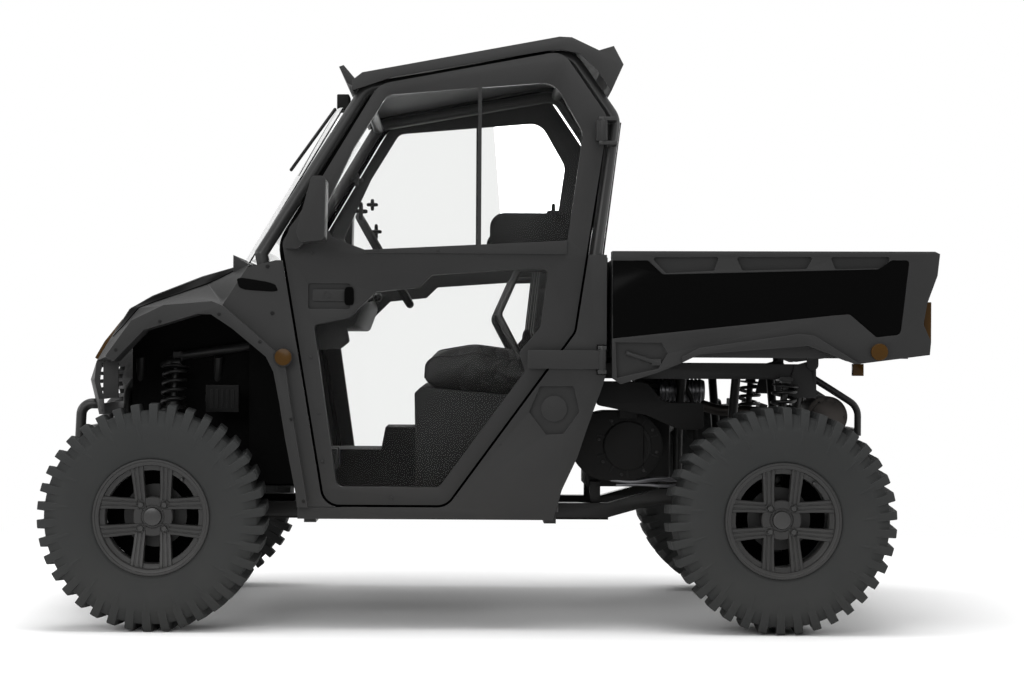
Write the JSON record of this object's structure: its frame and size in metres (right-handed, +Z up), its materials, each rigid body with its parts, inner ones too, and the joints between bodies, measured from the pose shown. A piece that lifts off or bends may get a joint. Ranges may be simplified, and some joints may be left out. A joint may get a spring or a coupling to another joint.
{
  "type": "side by side utility vehicle",
  "caption": "Two-seat side by side utility vehicle with a full glazed cab, hinged doors, steerable front wheels and a tipping load bed with a tailgate.",
  "frame": {"origin": "on the ground, under the middle of the vehicle", "axes": "+X forward, +Y to the vehicle's left, +Z up"},
  "size_m": [2.9735, 1.84, 1.981],
  "materials": {
    "frame_paint": "satin black powder coat",
    "cage_paint": "satin black powder coat",
    "roof_plastic": "grained moulding",
    "body_plastic": "fine-grained moulding",
    "interior_plastic": "grained moulding",
    "gloss_black": "high gloss",
    "clear_glass": "clear",
    "seat_vinyl": "grained vinyl",
    "wheel_rubber": "soft matte",
    "lamp_lens": "clear and amber lenses",
    "bare_aluminium": "as cast",
    "cast_metal": "as cast",
    "plain_steel": "ground",
    "exhaust_steel": "heat dulled",
    "rim_paint": "satin black",
    "tyre_rubber": "matte"
  },
  "bodies": {
    "bed": {"bed_panels": "gloss_black", "bed_sides": "body_plastic", "bed_tub": "body_plastic", "tail_lamps": "lamp_lens"},
    "chassis": {"belt_cover": "body_plastic", "cab_glass": "clear_glass", "cowl": "body_plastic", "dashboard": "interior_plastic", "driveline": "cast_metal", "driver_controls": "frame_paint", "engine": "cast_metal", "floor_pan": "interior_plastic", "frame": "frame_paint", "front_arms": "frame_paint", "front_bumper": "cage_paint", "front_fenders": "body_plastic", "front_lamps": "lamp_lens", "inner_guards": "interior_plastic", "intake_duct": "body_plastic", "muffler": "exhaust_steel", "nose": "body_plastic", "rack_housing": "bare_aluminium", "radiator": "bare_aluminium", "rear_arms": "frame_paint", "rear_hubs": "cast_metal", "rear_wall": "interior_plastic", "relay_box": "interior_plastic", "roll_cage": "cage_paint", "roof": "roof_plastic", "seat_backs": "seat_vinyl", "seat_base": "interior_plastic", "seat_cushions": "seat_vinyl", "shocks": "frame_paint", "shoulder_guards": "interior_plastic", "side_skins": "body_plastic", "skid_plate": "body_plastic", "wiper": "interior_plastic"},
    "door_left": {"door_left_fittings": "body_plastic", "door_left_frame": "body_plastic", "door_left_glass": "clear_glass"},
    "door_right": {"door_right_fittings": "body_plastic", "door_right_frame": "body_plastic", "door_right_glass": "clear_glass"},
    "hood": {"hood": "body_plastic"},
    "knuckle_left": {"knuckle_left": "cast_metal"},
    "knuckle_right": {"knuckle_right": "cast_metal"},
    "rack": {"steering_rack": "plain_steel"},
    "steering_wheel": {"steering_wheel": "wheel_rubber"},
    "tailgate": {"tailgate": "body_plastic"},
    "wheel_front_left": {"wheel_front_left_rim": "rim_paint", "wheel_front_left_tyre": "tyre_rubber"},
    "wheel_front_right": {"wheel_front_right_rim": "rim_paint", "wheel_front_right_tyre": "tyre_rubber"},
    "wheel_rear_left": {"wheel_rear_left_rim": "rim_paint", "wheel_rear_left_tyre": "tyre_rubber"},
    "wheel_rear_right": {"wheel_rear_right_rim": "rim_paint", "wheel_rear_right_tyre": "tyre_rubber"}
  },
  "joints": [
    {"name": "steer_left", "type": "hinge", "parent": "chassis", "child": "knuckle_left", "pos_m": [1.118, 0.62, 0], "axis": [0, 0, 1], "range_deg": [-30, 30]},
    {"name": "spin_front_left", "type": "hinge", "parent": "knuckle_left", "child": "wheel_front_left", "pos_m": [1.118, 0.685, 0.375], "axis": [0, 1, 0], "continuous": true},
    {"name": "spin_rear_left", "type": "hinge", "parent": "chassis", "child": "wheel_rear_left", "pos_m": [-0.962, 0.66, 0.375], "axis": [0, 1, 0], "continuous": true},
    {"name": "door_left_swing", "type": "hinge", "parent": "chassis", "child": "door_left", "pos_m": [-0.365, 0.725, 1.25], "axis": [0, 0, 1], "range_deg": [0, 75]},
    {"name": "steer_right", "type": "hinge", "parent": "chassis", "child": "knuckle_right", "pos_m": [1.118, -0.62, 0], "axis": [0, 0, 1], "range_deg": [-30, 30]},
    {"name": "spin_front_right", "type": "hinge", "parent": "knuckle_right", "child": "wheel_front_right", "pos_m": [1.118, -0.685, 0.375], "axis": [0, 1, 0], "continuous": true},
    {"name": "spin_rear_right", "type": "hinge", "parent": "chassis", "child": "wheel_rear_right", "pos_m": [-0.962, -0.66, 0.375], "axis": [0, 1, 0], "continuous": true},
    {"name": "door_right_swing", "type": "hinge", "parent": "chassis", "child": "door_right", "pos_m": [-0.365, -0.725, 1.25], "axis": [0, 0, -1], "range_deg": [0, 75]},
    {"name": "steering_wheel_turn", "type": "hinge", "parent": "chassis", "child": "steering_wheel", "pos_m": [0.371, 0.32, 1.243], "axis": [-0.8631, 0, 0.5051], "range_deg": [-301, 301]},
    {"name": "rack_slide", "type": "slide", "parent": "chassis", "child": "rack", "axis": [0, 1, 0], "range_m": [-0.058, 0.058]},
    {"name": "bed_tilt", "type": "hinge", "parent": "chassis", "child": "bed", "pos_m": [-1.11, 0, 0.889], "axis": [0, -1, 0], "range_deg": [0, 38]},
    {"name": "tailgate_drop", "type": "hinge", "parent": "bed", "child": "tailgate", "pos_m": [-1.411, 0, 0.948], "axis": [0, -1, 0], "range_deg": [0, 90]},
    {"name": "hood_lift", "type": "hinge", "parent": "chassis", "child": "hood", "pos_m": [0.872, 0, 1.216], "axis": [0, -1, 0], "range_deg": [0, 50]}
  ],
  "couplings": [
    {"joint": "steer_right", "follows": "steer_left", "ratio": 1},
    {"joint": "steering_wheel_turn", "follows": "steer_left", "ratio": 10},
    {"joint": "rack_slide", "follows": "steer_left", "m_per_rad": -0.11}
  ]
}
